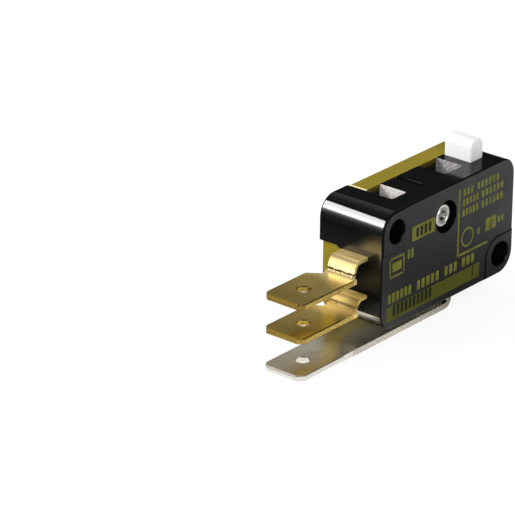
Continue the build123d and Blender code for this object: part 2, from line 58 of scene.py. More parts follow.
# Studio. A pale table under the switch, a lamp behind the terminals that draws the bright line along the
# rounded case end, a large lamp in front and weak ones above and behind. Seen in a mirror the table is
# white, with dark patches in front and behind the terminals, where black cards would stand.
MM = 0.001
scene = bpy.context.scene
scene.view_settings.view_transform = "Standard"

CAMERA_PLACE = Vector((-335.04, -258.97, 180.12)) * MM
CAMERA_AIM = Vector((0.70659, 0.58306, -0.40096))
CAMERA_ROLL = math.radians(0.55)
CAMERA_LENS = 255.5
CAMERA_SENSOR = 36.0
CAMERA_CLIP_START = 0.01
camera_data = bpy.data.cameras.new("camera")
camera_data.lens = CAMERA_LENS
camera_data.sensor_width = CAMERA_SENSOR
camera_data.clip_start = CAMERA_CLIP_START
camera = bpy.data.objects.new("camera", camera_data)
camera.location = CAMERA_PLACE
camera_turn = CAMERA_AIM.to_track_quat("-Z", "Y") @ Quaternion((0.0, 0.0, 1.0), CAMERA_ROLL)
camera.rotation_euler = camera_turn.to_euler()
scene.collection.objects.link(camera)
scene.camera = camera

LAMP_TARGET = Vector((6.0, 0.0, -6.0)) * MM
# Name, direction from the switch, distance and size in metres, watts, and roll in degrees.
LAMPS = (
    ("end_lamp", (-0.56, 0.583, 0.585), 0.45, (0.28, 0.12), 1.25, -32.0),
    ("end_glow", (-0.74, 0.58, 0.31), 0.45, (0.32, 0.20), 0.80, -32.0),
    ("front_lamp", (-0.45, -0.85, 0.55), 0.60, (0.45, 0.35), 2.1, 0.0),
    ("top_lamp", (0.20, 0.42, 0.88), 0.55, (0.38, 0.38), 0.32, 0.0),
    ("back_lamp", (0.55, 0.50, 0.67), 0.50, (0.25, 0.25), 0.13, 0.0),
)


def area_lamp(name, toward, distance, size, watts, roll):
    """Soft lamp that shines on the switch from a direction."""
    data = bpy.data.lights.new(name, "AREA")
    data.shape = "RECTANGLE"
    data.size, data.size_y = size
    data.energy = watts
    lamp = bpy.data.objects.new(name, data)
    way = Vector(toward).normalized()
    lamp.location = LAMP_TARGET + way * distance
    turn = (-way).to_track_quat("-Z", "Y") @ Quaternion((0.0, 0.0, 1.0), math.radians(roll))
    lamp.rotation_euler = turn.to_euler()
    scene.collection.objects.link(lamp)


for lamp_values in LAMPS:
    area_lamp(*lamp_values)

SKY_SOFT = 0.35
SKY_MIRRORED = 0.045
SKY_SEEN = 1.0
WHITE = (1.0, 1.0, 1.0, 1.0)
WARM_WHITE = (1.0, 0.97, 0.90, 1.0)
world = bpy.data.worlds.new("studio")
scene.world = world
world.use_nodes = True
sky = world.node_tree
sky.nodes.clear()


def sky_tone(colour, strength):
    """Background shader of one colour and strength."""
    tone = sky.nodes.new("ShaderNodeBackground")
    tone.inputs["Color"].default_value = colour
    tone.inputs["Strength"].default_value = strength
    return tone.outputs[0]


def lit_by_path(tree, path, ray, otherwise, chosen):
    """Shader that differs for one kind of ray."""
    mix = tree.nodes.new("ShaderNodeMixShader")
    tree.links.new(path.outputs[ray], mix.inputs[0])
    tree.links.new(otherwise, mix.inputs[1])
    tree.links.new(chosen, mix.inputs[2])
    return mix.outputs[0]


sky_path = sky.nodes.new("ShaderNodeLightPath")
sky_lit = lit_by_path(sky, sky_path, "Is Glossy Ray", sky_tone(WHITE, SKY_SOFT),
                      sky_tone(WARM_WHITE, SKY_MIRRORED))
sky_lit = lit_by_path(sky, sky_path, "Is Camera Ray", sky_lit, sky_tone(WHITE, SKY_SEEN))
sky_out = sky.nodes.new("ShaderNodeOutputWorld")
sky.links.new(sky_lit, sky_out.inputs["Surface"])

FLOOR_LEVEL = cad_bounds[0][2]
FLOOR_REACH = 3.0
FLOOR_CORNERS = ((-1, -1), (1, -1), (1, 1), (-1, 1))
TABLE_MATT = (0.20, 0.20, 0.197, 1.0)
SEEN_GLOW = 0.86
BOUNCE_GLOW = 0.45
MIRRORED_GLOW = 0.82
# Place across and along, inner and outer radius in millimetres, and what glow is left in the mirror.
DARK_PATCHES = ((22.0, -14.0, 6.0, 22.0, 0.12), (-34.0, -28.0, 12.0, 22.0, 0.15),
                (-30.0, 24.0, 14.0, 24.0, 0.10))
floor_mesh = bpy.data.meshes.new("floor")
floor_points = [(side * FLOOR_REACH, end * FLOOR_REACH, FLOOR_LEVEL) for side, end in FLOOR_CORNERS]
floor_mesh.from_pydata(floor_points, [], [(0, 1, 2, 3)])
floor = bpy.data.objects.new("floor", floor_mesh)
scene.collection.objects.link(floor)
floor_paint = bpy.data.materials.new("pale_table")
floor_paint.use_nodes = True
table = floor_paint.node_tree
table.nodes.clear()


def table_glow(strength):
    """Even white light from the table."""
    glow = table.nodes.new("ShaderNodeEmission")
    glow.inputs["Strength"].default_value = strength
    return glow.outputs[0]


def table_patch(across, along, inner_shade, outer):
    """Mask that is 0 inside a soft round patch of the table and 1 outside it."""
    place = table.nodes.new("ShaderNodeTexCoord")
    away = table.nodes.new("ShaderNodeVectorMath")
    away.operation = "DISTANCE"
    away.inputs[1].default_value = Vector((across * MM, along * MM, FLOOR_LEVEL))
    table.links.new(place.outputs["Object"], away.inputs[0])
    patch = table.nodes.new("ShaderNodeMapRange")
    patch.interpolation_type = "SMOOTHSTEP"
    patch.inputs["From Min"].default_value = inner_shade * MM
    patch.inputs["From Max"].default_value = outer * MM
    table.links.new(away.outputs["Value"], patch.inputs["Value"])
    return patch.outputs["Result"]


def table_mix(mask, dark, painted_highlight):
    """Shader that goes from dark to bright with a mask."""
    mix = table.nodes.new("ShaderNodeMixShader")
    table.links.new(mask, mix.inputs[0])
    table.links.new(dark, mix.inputs[1])
    table.links.new(painted_highlight, mix.inputs[2])
    return mix.outputs[0]


def table_shine(strength):
    """Matt table with some light of its own."""
    both = table.nodes.new("ShaderNodeAddShader")
    table.links.new(table_matt.outputs[0], both.inputs[0])
    table.links.new(table_glow(strength), both.inputs[1])
    return both.outputs[0]


table_path = table.nodes.new("ShaderNodeLightPath")
table_matt = table.nodes.new("ShaderNodeBsdfDiffuse")
table_matt.inputs["Color"].default_value = TABLE_MATT
table_mirrored = table_glow(MIRRORED_GLOW)
for across, along, inner_shade, outer, left_over in DARK_PATCHES:
    patch_mask = table_patch(across, along, inner_shade, outer)
    table_mirrored = table_mix(patch_mask, table_glow(left_over), table_mirrored)
table_lit = lit_by_path(table, table_path, "Is Glossy Ray", table_shine(BOUNCE_GLOW), table_mirrored)
table_lit = lit_by_path(table, table_path, "Is Camera Ray", table_lit, table_shine(SEEN_GLOW))
table_out = table.nodes.new("ShaderNodeOutputMaterial")
table.links.new(table_lit, table_out.inputs["Surface"])
floor_mesh.materials.append(floor_paint)

# Housing: black thermoset tray with two corner bosses, moulded in one shot. The printed face comes from
# a satin mould wall, the edges and ends from polished ones, and the walls of the lever recesses that
# face the terminals are eroded rough. Those walls are painted pale as a highlight, and the walls of the
# holes, of the slit and of the rivet recess are painted darker as shade.
CASE_LOW = Vector(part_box("housing")[0])


def spot(length, depth, height):
    """Place measured from the terminal end, the printed side and the bottom of the case."""
    return CASE_LOW + Vector((length, depth, height)) * MM


def socket_group(name, inputs, outputs):
    """Empty shader node group with named inputs and outputs."""
    group = bpy.data.node_groups.new(name, "ShaderNodeTree")
    for label, kind, value in inputs:
        socket = group.interface.new_socket(label, in_out="INPUT", socket_type=kind)
        if value is not None:
            socket.default_value = value
    for label in outputs:
        group.interface.new_socket(label, in_out="OUTPUT", socket_type="NodeSocketFloat")
    return group, group.nodes.new("NodeGroupInput"), group.nodes.new("NodeGroupOutput")


def texture(tree, kind, vector, scale, **values):
    """Texture node on given coordinates; scale is a number or a socket."""
    node = tree.nodes.new(kind)
    tree.links.new(vector, node.inputs["Vector"])
    if isinstance(scale, (int, float)):
        node.inputs["Scale"].default_value = scale
    else:
        tree.links.new(scale, node.inputs["Scale"])
    for label, value in values.items():
        node.inputs[label].default_value = value
    return node


def ranged(tree, source, low, high, to_low=0.0, to_high=1.0):
    """Maps a value from one range to another, clamped."""
    node = tree.nodes.new("ShaderNodeMapRange")
    node.inputs["From Min"].default_value = low
    node.inputs["From Max"].default_value = high
    node.inputs["To Min"].default_value = to_low
    node.inputs["To Max"].default_value = to_high
    tree.links.new(source, node.inputs["Value"])
    return node.outputs["Result"]


def worked(tree, operation, *values):
    """Joins two or more sockets or numbers by one maths operation, from left to right."""
    result = values[0]
    for value in values[1:]:
        node = tree.nodes.new("ShaderNodeMath")
        node.operation = operation
        for place, part in enumerate((result, value)):
            if isinstance(part, (int, float)):
                node.inputs[place].default_value = part
            else:
                tree.links.new(part, node.inputs[place])
        result = node.outputs[0]
    return result


def product(tree, *values):
    """Masks multiplied with each other."""
    return worked(tree, "MULTIPLY", *values)


def greatest(tree, *values):
    """The strongest of some masks."""
    return worked(tree, "MAXIMUM", *values)


def blended(tree, mask, first, second):
    """Mixes two colours or colour sockets by a mask."""
    node = tree.nodes.new("ShaderNodeMix")
    node.data_type = "RGBA"
    tree.links.new(mask, node.inputs["Factor"])
    for place, value in ((6, first), (7, second)):
        if isinstance(value, tuple):
            node.inputs[place].default_value = (*value, 1.0)
        else:
            tree.links.new(value, node.inputs[place])
    return node.outputs[2]


def separated(tree, vector):
    """The three parts of a vector."""
    node = tree.nodes.new("ShaderNodeSeparateXYZ")
    tree.links.new(vector, node.inputs[0])
    return node.outputs


def rising(tree, apart, axis, start, end, low=0.0, high=1.0):
    """Mask that goes from low to high between two distances along an axis, in millimetres as in spot."""
    corner = CASE_LOW["XYZ".index(axis)]
    return ranged(tree, apart[axis], corner + start * MM, corner + end * MM, low, high)


# Parts of a noise's range: all of it, its usual middle, and only its rare peaks.
WIDE_SPREAD = (0.3, 0.7)
USUAL_SPREAD = (0.35, 0.65)
RARE_PEAKS = (0.70, 0.76)
SCRATCH_TURN = (0.3, 0.5, 0.4)
SCRATCH_STRETCH = (160.0, 2600.0, 2600.0)
SCRATCH_PATCH_SIZE = 420.0
SCRATCH_PATCH_SPREAD = (0.52, 0.62)
SPECK_SHARE = 0.35
SPECK_RADIUS = (0.10, 0.04)


def grain_group():
    """Moulded plastic: fine height, slow cloud, rare pale specks and rare fine scratches."""
    group, inlet, outlet = socket_group(
        "moulding_grain",
        [("Vector", "NodeSocketVector", None), ("Grain Size", "NodeSocketFloat", 9000.0),
         ("Cloud Size", "NodeSocketFloat", 260.0)],
        ["Height", "Cloud", "Speck", "Scratch"])
    vector = inlet.outputs["Vector"]
    fine = texture(group, "ShaderNodeTexNoise", vector, inlet.outputs["Grain Size"], Detail=3.0)
    cloud = texture(group, "ShaderNodeTexNoise", vector, inlet.outputs["Cloud Size"], Detail=4.0)
    speck = texture(group, "ShaderNodeTexVoronoi", vector,
                    product(group, inlet.outputs["Grain Size"], SPECK_SHARE))
    stretch = group.nodes.new("ShaderNodeMapping")
    stretch.inputs["Rotation"].default_value = SCRATCH_TURN
    stretch.inputs["Scale"].default_value = SCRATCH_STRETCH
    group.links.new(vector, stretch.inputs["Vector"])
    scratch = texture(group, "ShaderNodeTexNoise", stretch.outputs[0], 1.0, Detail=2.0)
    patch = texture(group, "ShaderNodeTexNoise", vector, SCRATCH_PATCH_SIZE, Detail=1.0)
    rare = product(group, ranged(group, scratch.outputs["Fac"], *RARE_PEAKS),
                   ranged(group, patch.outputs["Fac"], *SCRATCH_PATCH_SPREAD))
    group.links.new(fine.outputs["Fac"], outlet.inputs["Height"])
    group.links.new(cloud.outputs["Fac"], outlet.inputs["Cloud"])
    group.links.new(ranged(group, speck.outputs["Distance"], *SPECK_RADIUS), outlet.inputs["Speck"])
    group.links.new(rare, outlet.inputs["Scratch"])
    return group


MOULDING_GRAIN = grain_group()


def plain_material(name):
    """Material whose tree holds one Principled BSDF, its output and the texture coordinates."""
    material = bpy.data.materials.new(name)
    material.use_nodes = True
    tree = material.node_tree
    tree.nodes.clear()
    out = tree.nodes.new("ShaderNodeOutputMaterial")
    shader = tree.nodes.new("ShaderNodeBsdfPrincipled")
    tree.links.new(shader.outputs[0], out.inputs["Surface"])
    return material, tree, shader, tree.nodes.new("ShaderNodeTexCoord")


def grained(tree, place, grain_size, cloud_size):
    """Places the moulding grain group on object coordinates."""
    grain = tree.nodes.new("ShaderNodeGroup")
    grain.node_tree = MOULDING_GRAIN
    grain.inputs["Grain Size"].default_value = grain_size
    grain.inputs["Cloud Size"].default_value = cloud_size
    tree.links.new(place.outputs["Object"], grain.inputs["Vector"])
    return grain.outputs


def bumped(tree, shader, height, strength, distance):
    """Feeds a height through a Bump node into the shader's normal."""
    bump = tree.nodes.new("ShaderNodeBump")
    bump.inputs["Strength"].default_value = strength
    bump.inputs["Distance"].default_value = distance
    tree.links.new(height, bump.inputs["Height"])
    tree.links.new(bump.outputs["Normal"], shader.inputs["Normal"])


GLOSSY_BLACK = (0.0035, 0.0042, 0.0042)
PRINTED_BLACK = (0.0070, 0.0078, 0.0070)
BLACK_SPECK = (0.018, 0.019, 0.018)
BLACK_SCRATCH = (0.030, 0.031, 0.029)
SCRATCH_ROUGHNESS = 0.25
FINE_BUMP = 0.00001


def black_moulding(name, ground, rough, specular):
    """Black thermoset in one finish of the mould; returns what a face's own touches are added to."""
    material, tree, shader, place = plain_material(name)
    grain = grained(tree, place, grain_size=7000.0, cloud_size=240.0)
    clouded = ranged(tree, grain["Cloud"], *USUAL_SPREAD, *rough)
    scratched = worked(tree, "ADD", clouded, product(tree, grain["Scratch"], SCRATCH_ROUGHNESS))
    tree.links.new(scratched, shader.inputs["Roughness"])
    shader.inputs["Specular IOR Level"].default_value = specular
    dusty = blended(tree, grain["Speck"], ground, BLACK_SPECK)
    marked = blended(tree, grain["Scratch"], dusty, BLACK_SCRATCH)
    tree.links.new(marked, shader.inputs["Base Color"])
    bumped(tree, shader, grain["Height"], strength=0.25, distance=FINE_BUMP)
    return material, tree, shader, place, grain, marked


CORNER_GLOSS = 0.55
CORNER_COAT_IOR = 2.0
CORNER_COAT_ROUGHNESS = 0.07
TOP_GLOSS = 0.12
# How far a face looks up, or to the cover side, where each gloss comes in or goes out.
TOPSIDE = (0.97, 0.995)
UPPER_TURN = ((0.34, 0.50), (0.80, 0.74))
LOWER_TURN = (-0.03, -0.16)
OFF_PRINT = (-0.15, -0.05)
# Tone of the painted highlight on the rim of the slit, and where it lies, in millimetres as in spot.
SLIT_RIM_HIGHLIGHT = (0.060, 0.062, 0.060)
RIM_ENDS = ((11.85, 11.9), (12.05, 12.0))
RIM_SIDES = ((3.0, 3.3), (6.2, 5.2))
RIM_HEIGHT = (15.7, 15.8)


def polished_black():
    """Top, edges and rounded corners: glossiest on the corners, with a painted highlight on the rim of the
    slit.
    """
    material, tree, shader, place, _, marked = black_moulding(
        "black_polished", GLOSSY_BLACK, rough=(0.07, 0.12), specular=0.06)
    facing = separated(tree, place.outputs["Normal"])
    topside = ranged(tree, facing["Z"], *TOPSIDE)
    upper_turn = product(tree, *(ranged(tree, facing["Z"], *turn) for turn in UPPER_TURN))
    lower_turn = ranged(tree, facing["Z"], *LOWER_TURN)
    off_print = ranged(tree, facing["Y"], *OFF_PRINT)
    corner = product(tree, greatest(tree, upper_turn, lower_turn), off_print)
    gloss = greatest(tree, product(tree, corner, CORNER_GLOSS), product(tree, topside, TOP_GLOSS))
    tree.links.new(gloss, shader.inputs["Coat Weight"])
    shader.inputs["Coat IOR"].default_value = CORNER_COAT_IOR
    shader.inputs["Coat Roughness"].default_value = CORNER_COAT_ROUGHNESS
    apart = separated(tree, place.outputs["Object"])
    # The pale line along the slit's rim is a painted highlight.
    rim_highlight = product(tree, *(rising(tree, apart, "X", *end) for end in RIM_ENDS),
                  *(rising(tree, apart, "Y", *side) for side in RIM_SIDES),
                  rising(tree, apart, "Z", *RIM_HEIGHT))
    tree.links.new(blended(tree, rim_highlight, marked, SLIT_RIM_HIGHLIGHT), shader.inputs["Base Color"])
    return material


END_SHEEN = 0.80
END_SHEEN_ROUGHNESS = 0.23
SHEEN_LOW = (8.8, 9.9)
SHEEN_HIGH = (12.8, 10.8)
SHEEN_LEFT_AT_TOP = 0.2
SHEEN_GRAIN = (0.35, 0.6)
SHEEN_LEFT_IN_GRAIN = 0.55


def end_black():
    """Flat end walls: duller, with a handled sheen beside the upper strip."""
    material, tree, shader, place, grain, _ = black_moulding(
        "black_end_wall", GLOSSY_BLACK, rough=(0.20, 0.26), specular=0.03)
    apart = separated(tree, place.outputs["Object"])
    above_blade = rising(tree, apart, "Z", *SHEEN_LOW)
    below_top = rising(tree, apart, "Z", *SHEEN_HIGH, low=SHEEN_LEFT_AT_TOP)
    grainy = ranged(tree, grain["Height"], *SHEEN_GRAIN, to_low=SHEEN_LEFT_IN_GRAIN)
    tree.links.new(product(tree, above_blade, below_top, grainy, END_SHEEN), shader.inputs["Coat Weight"])
    shader.inputs["Coat Roughness"].default_value = END_SHEEN_ROUGHNESS
    return material


def satin_black():
    """Printed face, its step and the faces of the bosses."""
    return black_moulding("black_satin", PRINTED_BLACK, rough=(0.38, 0.46), specular=0.46)[0]


# Tones of the bore walls, darker than the black moulding as painted shade.
BORE_SHADE_CLOUD = ((0.0012, 0.0012, 0.0012), (0.0022, 0.0023, 0.0022))
BORE_ROUGHNESS = (0.55, 0.7)
BORE_SPECULAR = 0.08


def shaded_bore():
    """Matt inner walls of the holes and of the recess around the rivet, painted darker than the moulding as
    shade.
    """
    material, tree, shader, place = plain_material("shaded_bore")
    grain = grained(tree, place, grain_size=5000.0, cloud_size=300.0)
    tree.links.new(blended(tree, grain["Cloud"], *BORE_SHADE_CLOUD), shader.inputs["Base Color"])
    tree.links.new(ranged(tree, grain["Cloud"], *WIDE_SPREAD, *BORE_ROUGHNESS), shader.inputs["Roughness"])
    shader.inputs["Specular IOR Level"].default_value = BORE_SPECULAR
    bumped(tree, shader, grain["Height"], strength=0.4, distance=0.00003)
    return material


# Painted highlight tones of the grains and of the pits between them, in the near and in the far recess.
FROST_NEAR_HIGHLIGHT = ((1.0, 0.97, 0.96), (0.66, 0.63, 0.61))
FROST_FAR_HIGHLIGHT = ((0.62, 0.61, 0.60), (0.24, 0.23, 0.225))
FROST_PIT_SIZE = 5200.0
FROST_PIT_RADIUS = (0.30, 0.60)
FROST_ROUGHNESS = (0.40, 0.6)
BETWEEN_RECESSES = (13.0, 14.0)


def frosted_wall_highlight():
    """Eroded wall of a lever recess, painted pale with fine bright grains as a highlight; the far one is
    painted greyer.
    """
    material, tree, shader, place = plain_material("frosted_wall_highlight")
    grain = grained(tree, place, grain_size=9000.0, cloud_size=900.0)
    pit = texture(tree, "ShaderNodeTexVoronoi", place.outputs["Object"], FROST_PIT_SIZE)
    far = rising(tree, separated(tree, place.outputs["Object"]), "X", *BETWEEN_RECESSES)
    # The grains are painted pale as a highlight, brightest in the near recess and greyer in the far one.
    highlight_tone = blended(tree, far, FROST_NEAR_HIGHLIGHT[0], FROST_FAR_HIGHLIGHT[0])
    pitted = blended(tree, far, FROST_NEAR_HIGHLIGHT[1], FROST_FAR_HIGHLIGHT[1])
    tone = blended(tree, ranged(tree, pit.outputs["Distance"], *FROST_PIT_RADIUS), highlight_tone, pitted)
    tree.links.new(tone, shader.inputs["Base Color"])
    tree.links.new(ranged(tree, grain["Cloud"], *USUAL_SPREAD, *FROST_ROUGHNESS), shader.inputs["Roughness"])
    shader.inputs["Specular IOR Level"].default_value = 1.0
    bumped(tree, shader, pit.outputs["Distance"], strength=0.4, distance=0.00004)
    return material


SHARP_ANGLE = math.radians(32.0)
MERGE_REACH = 1e-7


def dressed(node, body, materials, choose=None):
    """Smooth-shaded copy of a CAD solid that stands for it; choose gives a face its material."""
    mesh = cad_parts[node].data.copy()
    work = bmesh.new()
    work.from_mesh(mesh)
    bmesh.ops.remove_doubles(work, verts=work.verts, dist=MERGE_REACH)
    work.to_mesh(mesh)
    work.free()
    for stale in ("custom_normal", "sharp_edge"):
        if stale in mesh.attributes:
            mesh.attributes.remove(mesh.attributes[stale])
    mesh.materials.clear()
    for material in materials:
        mesh.materials.append(material)
    for face in mesh.polygons:
        face.material_index = choose(face.center, face.normal) if choose else 0
    mesh.shade_smooth()
    mesh.set_sharp_from_angle(angle=SHARP_ANGLE)
    draft = bpy.data.objects.new(node + "_draft", mesh)
    scene.collection.objects.link(draft)
    weighted = draft.modifiers.new("weighted", "WEIGHTED_NORMAL")
    weighted.keep_sharp = True
    return baked(draft, node + "_skin", body, node)


def baked(draft, name, body, node=None):
    """Turns a draft and its modifiers into a plain mesh that rides on a body."""
    graph = bpy.context.evaluated_depsgraph_get()
    mesh = bpy.data.meshes.new_from_object(draft.evaluated_get(graph), preserve_all_data_layers=True,
                                           depsgraph=graph)
    mesh.name = name
    bpy.data.objects.remove(draft)
    piece = bpy.data.objects.new(name, mesh)
    scene.collection.objects.link(piece)
    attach(piece, body)
    if node:
        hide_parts(node)
    return piece


ROUND_HOLE = spot(2.85, 0.0, 13.1)
SLOT_HOLE = spot(25.05, 0.0, 2.8)
RIVET_SEAT = spot(13.2, 0.0, 11.8)
BORES = ((ROUND_HOLE, 1.75 * MM), (SLOT_HOLE, 1.95 * MM), (RIVET_SEAT, 2.25 * MM))
ROUGH_WALLS = (spot(8.4, 0.0, 0.0).x, spot(20.2, 0.0, 0.0).x)
ROUGH_WALL_REACH = 0.06 * MM
RECESS_FLOOR, RECESS_RIM = spot(0.0, 0.0, 12.9).z, spot(0.0, 0.0, 15.85).z
SLIT = (spot(11.2, 0.0, 0.0).x, spot(12.0, 0.0, 0.0).x)
POLISHED, SATIN, END, SHADED_BORE, FROSTED_HIGHLIGHT = range(5)


def housing_face(centre, normal):
    """Finish of a face of the housing, from its place and the way it faces."""
    # Walls of the holes and of the rivet recess take the bore material, darkened as painted shade.
    for place, radius in BORES:
        if abs(normal.y) < 0.5 and math.hypot(centre.x - place.x, centre.z - place.z) < radius:
            return SHADED_BORE
    if RECESS_FLOOR < centre.z < RECESS_RIM:
        # Rough recess walls facing the terminals take the pale painted highlight.
        if normal.x < -0.9 and any(abs(centre.x - wall) < ROUGH_WALL_REACH for wall in ROUGH_WALLS):
            return FROSTED_HIGHLIGHT
        # The slit's walls take the bore material too, darkened as painted shade.
        if SLIT[0] < centre.x < SLIT[1]:
            return SHADED_BORE
    if normal.y < -0.95:
        return SATIN
    return END if abs(normal.x) > 0.985 else POLISHED


dressed("housing", "case",
        [polished_black(), satin_black(), end_black(), shaded_bore(), frosted_wall_highlight()], choose=housing_face)

# Print on the housing: one pass of olive ink laid on the satin face, with frame lines, fields, a ring and
# rows of plain blocks, and then darker blocks stamped over the fields.
INK_THICKNESS = 0.014
PRINT_DEPTH = 0.12
# Centre, width and height of a block, in millimetres from the case corner.
INK_FIELDS = [(15.9, 9.95, 0.32, 9.3), (19.1, 5.4, 6.4, 0.32), (8.45, 11.6, 4.7, 2.0),
              (10.9, 2.05, 19.6, 2.0), (3.1, 9.55, 3.0, 0.24), (3.1, 7.05, 3.0, 0.24),
              (1.7, 8.3, 0.24, 2.6), (4.5, 8.3, 0.24, 2.6), (3.1, 8.3, 1.9, 1.2)]
# First centre, height, count, pitch, width and height of a row of blocks.
INK_ROWS = [(17.0, 13.95, 3, 0.80, 0.50, 0.95), (20.0, 13.95, 6, 0.82, 0.52, 0.95),
            (16.9, 12.55, 5, 0.72, 0.46, 0.95), (21.0, 12.55, 6, 0.82, 0.52, 0.95),
            (16.9, 11.10, 5, 0.72, 0.46, 0.95), (21.0, 11.10, 6, 0.82, 0.52, 0.95),
            (1.7, 4.15, 6, 0.84, 0.56, 1.30), (7.7, 4.15, 5, 0.98, 0.64, 1.30),
            (13.5, 4.15, 3, 0.98, 0.64, 1.30), (17.2, 4.15, 3, 0.98, 0.64, 1.30),
            (5.5, 9.15, 2, 0.75, 0.48, 1.30), (20.3, 7.55, 1, 1.0, 0.55, 0.85),
            (22.3, 7.85, 2, 1.25, 1.05, 1.80), (24.7, 7.85, 2, 0.75, 0.48, 0.90)]
DARK_ROWS = [(7.2, 11.6, 4, 0.86, 0.52, 1.25), (2.7, 2.25, 10, 0.83, 0.52, 1.45),
             (19.2, 2.3, 1, 1.0, 0.22, 1.5)]


def in_rows(rows):
    """Every block of the rows."""
    return [(start + index * pitch, height, wide, tall) for start, height, count, pitch, wide, tall in rows
            for index in range(count)]


def block_tree(material):
    """Geometry Nodes tree that stamps a thin block on every point, as wide and tall as the point says."""
    tree = bpy.data.node_groups.new("ink_blocks", "GeometryNodeTree")
    tree.interface.new_socket("Geometry", in_out="INPUT", socket_type="NodeSocketGeometry")
    thickness = tree.interface.new_socket("Thickness", in_out="INPUT", socket_type="NodeSocketFloat")
    tree.interface.new_socket("Geometry", in_out="OUTPUT", socket_type="NodeSocketGeometry")
    inlet = tree.nodes.new("NodeGroupInput")
    outlet = tree.nodes.new("NodeGroupOutput")
    block = tree.nodes.new("GeometryNodeMeshCube")
    block.inputs["Size"].default_value = (1.0, 1.0, 1.0)
    size = tree.nodes.new("ShaderNodeCombineXYZ")
    for axis, label in (("X", "wide"), ("Z", "tall")):
        named = tree.nodes.new("GeometryNodeInputNamedAttribute")
        named.data_type = "FLOAT"
        named.inputs["Name"].default_value = label
        tree.links.new(named.outputs["Attribute"], size.inputs[axis])
    tree.links.new(inlet.outputs["Thickness"], size.inputs["Y"])
    stamp = tree.nodes.new("GeometryNodeInstanceOnPoints")
    solid = tree.nodes.new("GeometryNodeRealizeInstances")
    paint = tree.nodes.new("GeometryNodeSetMaterial")
    paint.inputs["Material"].default_value = material
    tree.links.new(inlet.outputs["Geometry"], stamp.inputs["Points"])
    tree.links.new(block.outputs["Mesh"], stamp.inputs["Instance"])
    tree.links.new(size.outputs[0], stamp.inputs["Scale"])
    tree.links.new(stamp.outputs[0], solid.inputs[0])
    tree.links.new(solid.outputs[0], paint.inputs["Geometry"])
    tree.links.new(paint.outputs[0], outlet.inputs["Geometry"])
    return tree, thickness.identifier


def stamped(name, blocks, depth, material):
    """Ink blocks at one depth over the printed face."""
    mesh = bpy.data.meshes.new(name)
    mesh.from_pydata([spot(length, depth, height) for length, height, wide, tall in blocks], [], [])
    for label, place in (("wide", 2), ("tall", 3)):
        layer = mesh.attributes.new(label, "FLOAT", "POINT")
        for index, block in enumerate(blocks):
            layer.data[index].value = block[place] * MM
    draft = bpy.data.objects.new(name + "_draft", mesh)
    scene.collection.objects.link(draft)
    tree, thickness = block_tree(material)
    modifier = draft.modifiers.new("blocks", "NODES")
    modifier.node_group = tree
    modifier[thickness] = INK_THICKNESS * MM
    return baked(draft, name, "case")


THIN_SPREAD = (0.35, 0.68)
# The ink is deeper low on the case: between which heights in millimetres, how strongly, and with what
# share of the thin tone.
DEEP_HEIGHTS = (4.2, 2.8)
DEEP_MOST = 0.75
DEEP_SHARES = (0.42, 0.42, 0.10)
INK_ROUGHNESS = (0.45, 0.6)
INK_SPECULAR = 0.15
# How far the blocks' middles stand out of the face, as a share of the ink's thickness.
OLIVE_LIFT = 0.4
DARK_LIFT = 1.2


def ink(name, colour, thin):
    """Printing ink that lets a little of the moulding through and is deeper low on the case."""
    material, tree, shader, place = plain_material(name)
    grain = grained(tree, place, grain_size=6000.0, cloud_size=700.0)
    laid = blended(tree, ranged(tree, grain["Cloud"], *THIN_SPREAD), colour, thin)
    low = rising(tree, separated(tree, place.outputs["Object"]), "Z", *DEEP_HEIGHTS, high=DEEP_MOST)
    deep = tuple(part * share for part, share in zip(thin, DEEP_SHARES))
    tree.links.new(blended(tree, low, laid, deep), shader.inputs["Base Color"])
    tree.links.new(ranged(tree, grain["Cloud"], *WIDE_SPREAD, *INK_ROUGHNESS), shader.inputs["Roughness"])
    shader.inputs["Specular IOR Level"].default_value = INK_SPECULAR
    bumped(tree, shader, grain["Height"], strength=0.3, distance=FINE_BUMP)
    return material


OLIVE_INK = ink("olive_ink", (0.165, 0.175, 0.020), (0.110, 0.118, 0.018))
DARK_INK = ink("dark_ink", (0.013, 0.014, 0.009), (0.022, 0.023, 0.012))
stamped("print_blocks", INK_FIELDS + in_rows(INK_ROWS), PRINT_DEPTH - INK_THICKNESS * OLIVE_LIFT,
        OLIVE_INK)
stamped("overprint_blocks", in_rows(DARK_ROWS), PRINT_DEPTH - INK_THICKNESS * DARK_LIFT,
        DARK_INK)

RING_PLACE = (17.9, 7.5)
RING_OUTER = 1.35
RING_INNER = 1.08
RING_STEPS = 48
RING_SUNK = 0.2
RING_RAISED = 0.8
RING_DEPTHS = (PRINT_DEPTH + INK_THICKNESS * RING_SUNK, PRINT_DEPTH - INK_THICKNESS * RING_RAISED)


def ink_ring():
    """Flat printed ring."""
    work = bmesh.new()
    loops = []
    for radius in (RING_INNER, RING_OUTER):
        for depth in RING_DEPTHS:
            turns = [2.0 * math.pi * step / RING_STEPS for step in range(RING_STEPS)]
            loops.append([work.verts.new(spot(RING_PLACE[0] + radius * math.cos(turn), depth,
                                              RING_PLACE[1] + radius * math.sin(turn))) for turn in turns])
    inner_low, inner_high, outer_low, outer_high = loops
    for first, second in ((inner_low, inner_high), (inner_high, outer_high), (outer_high, outer_low),
                          (outer_low, inner_low)):
        for step in range(RING_STEPS):
            ahead = (step + 1) % RING_STEPS
            work.faces.new((first[step], first[ahead], second[ahead], second[step]))
    bmesh.ops.recalc_face_normals(work, faces=work.faces)
    mesh = bpy.data.meshes.new("print_ring")
    work.to_mesh(mesh)
    work.free()
    mesh.materials.append(OLIVE_INK)
    piece = bpy.data.objects.new("print_ring", mesh)
    scene.collection.objects.link(piece)
    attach(piece, "case")


ink_ring()

